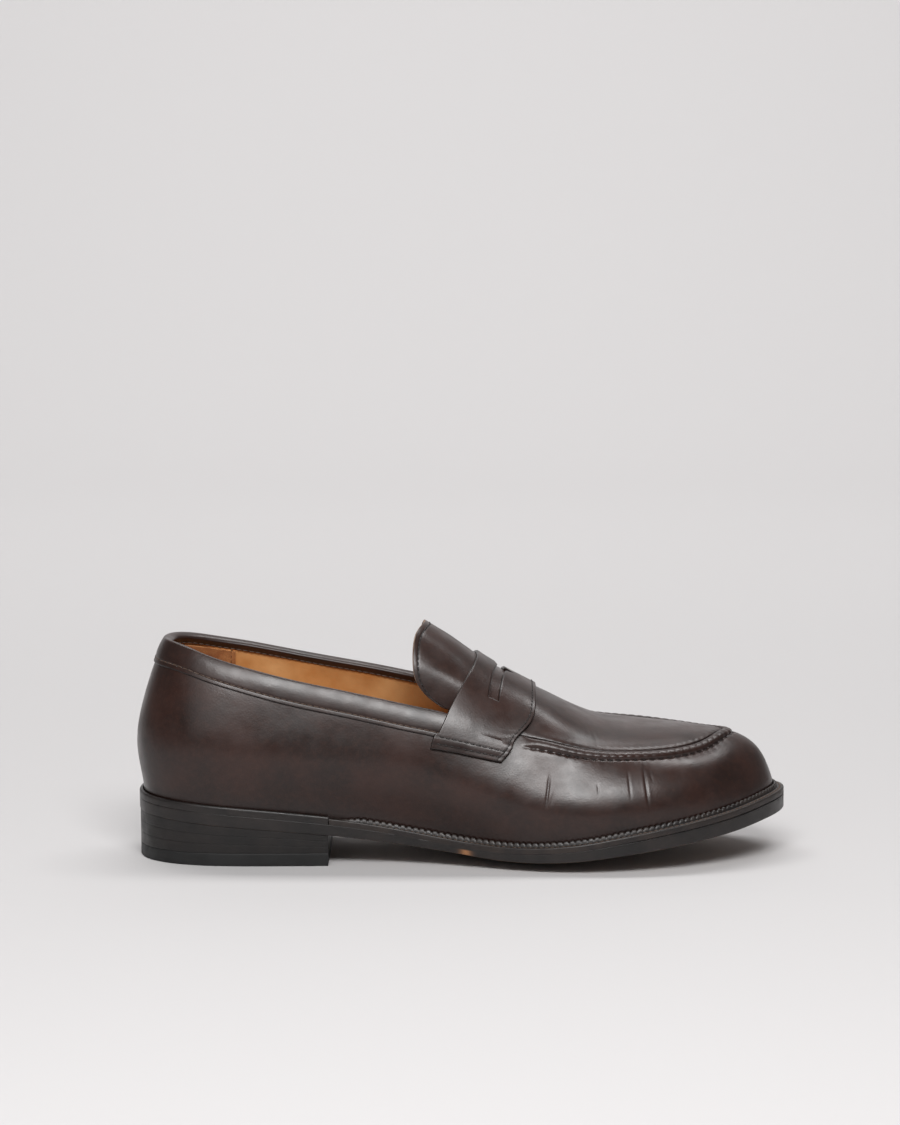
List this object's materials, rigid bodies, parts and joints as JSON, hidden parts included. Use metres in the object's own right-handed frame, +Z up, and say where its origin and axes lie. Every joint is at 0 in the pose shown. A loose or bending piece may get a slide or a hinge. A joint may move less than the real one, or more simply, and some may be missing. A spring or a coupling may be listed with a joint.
{
  "type": "penny loafer",
  "caption": "Men's welted slip-on shoe for the right foot: calf upper with raised apron seam, slotted saddle strap, free tongue, leather sole and stacked heel.",
  "frame": {"origin": "on the standing surface under the middle of the shoe's bounding box", "axes": "+X to the toe, +Y to the medial (inner) side of the foot, +Z up"},
  "size_m": [0.3, 0.1063, 0.1081],
  "materials": {
    "upper_calf": "smooth dark brown calf, waxed, soft sheen",
    "lining_leather": "tan vegetable-tanned lining leather, matt",
    "heel_grip_suede": "brown suede, napped",
    "stiffener_board": "leather-board stiffener",
    "backing_canvas": "plain woven cotton backing",
    "insole_leather": "natural insole leather",
    "sole_leather": "dark stained and waxed sole leather edge",
    "heel_stack_leather": "dark stained stacked leather",
    "heel_rubber": "black rubber, moulded",
    "cork": "cork paste filler",
    "shank_steel": "spring steel",
    "nail_brass": "brass",
    "sewing_thread": "waxed dark brown thread"
  },
  "bodies": {
    "shoe": {"apron": "upper_calf", "apron_lining": "lining_leather", "apron_seam_thread": "sewing_thread", "collar_stitching": "sewing_thread", "collar_strip": "upper_calf", "cork_filler": "cork", "heel_counter": "stiffener_board", "heel_grip": "heel_grip_suede", "heel_lift_1": "heel_stack_leather", "heel_lift_2": "heel_stack_leather", "heel_lift_3": "heel_stack_leather", "heel_nails": "shank_steel", "heel_rand": "sole_leather", "heel_top_piece": "heel_rubber", "heel_top_piece_nails": "nail_brass", "insole": "insole_leather", "insole_rib": "backing_canvas", "interlining_lateral": "backing_canvas", "interlining_medial": "backing_canvas", "outsole": "sole_leather", "outsole_stitching": "sewing_thread", "quarter_lining_lateral": "lining_leather", "quarter_lining_medial": "lining_leather", "saddle_edge_stitching": "sewing_thread", "saddle_strap": "upper_calf", "saddle_tab_stitching_lateral": "sewing_thread", "saddle_tab_stitching_medial": "sewing_thread", "shank": "shank_steel", "sock_liner": "lining_leather", "toe_puff": "stiffener_board", "tongue_base": "upper_calf", "upper_wall": "upper_calf", "vamp_lining": "lining_leather", "welt": "sole_leather"},
    "tongue": {"tongue_edge_stitching": "sewing_thread", "tongue_flap": "upper_calf", "tongue_flap_lining": "lining_leather"}
  },
  "joints": [
    {"name": "tongue_flex", "type": "hinge", "parent": "shoe", "child": "tongue", "pos_m": [0.004, 0, 0.0915], "axis": [0, 1, 0], "range_deg": [-6, 12], "stiffness_Nm_per_rad": 0.15}
  ]
}
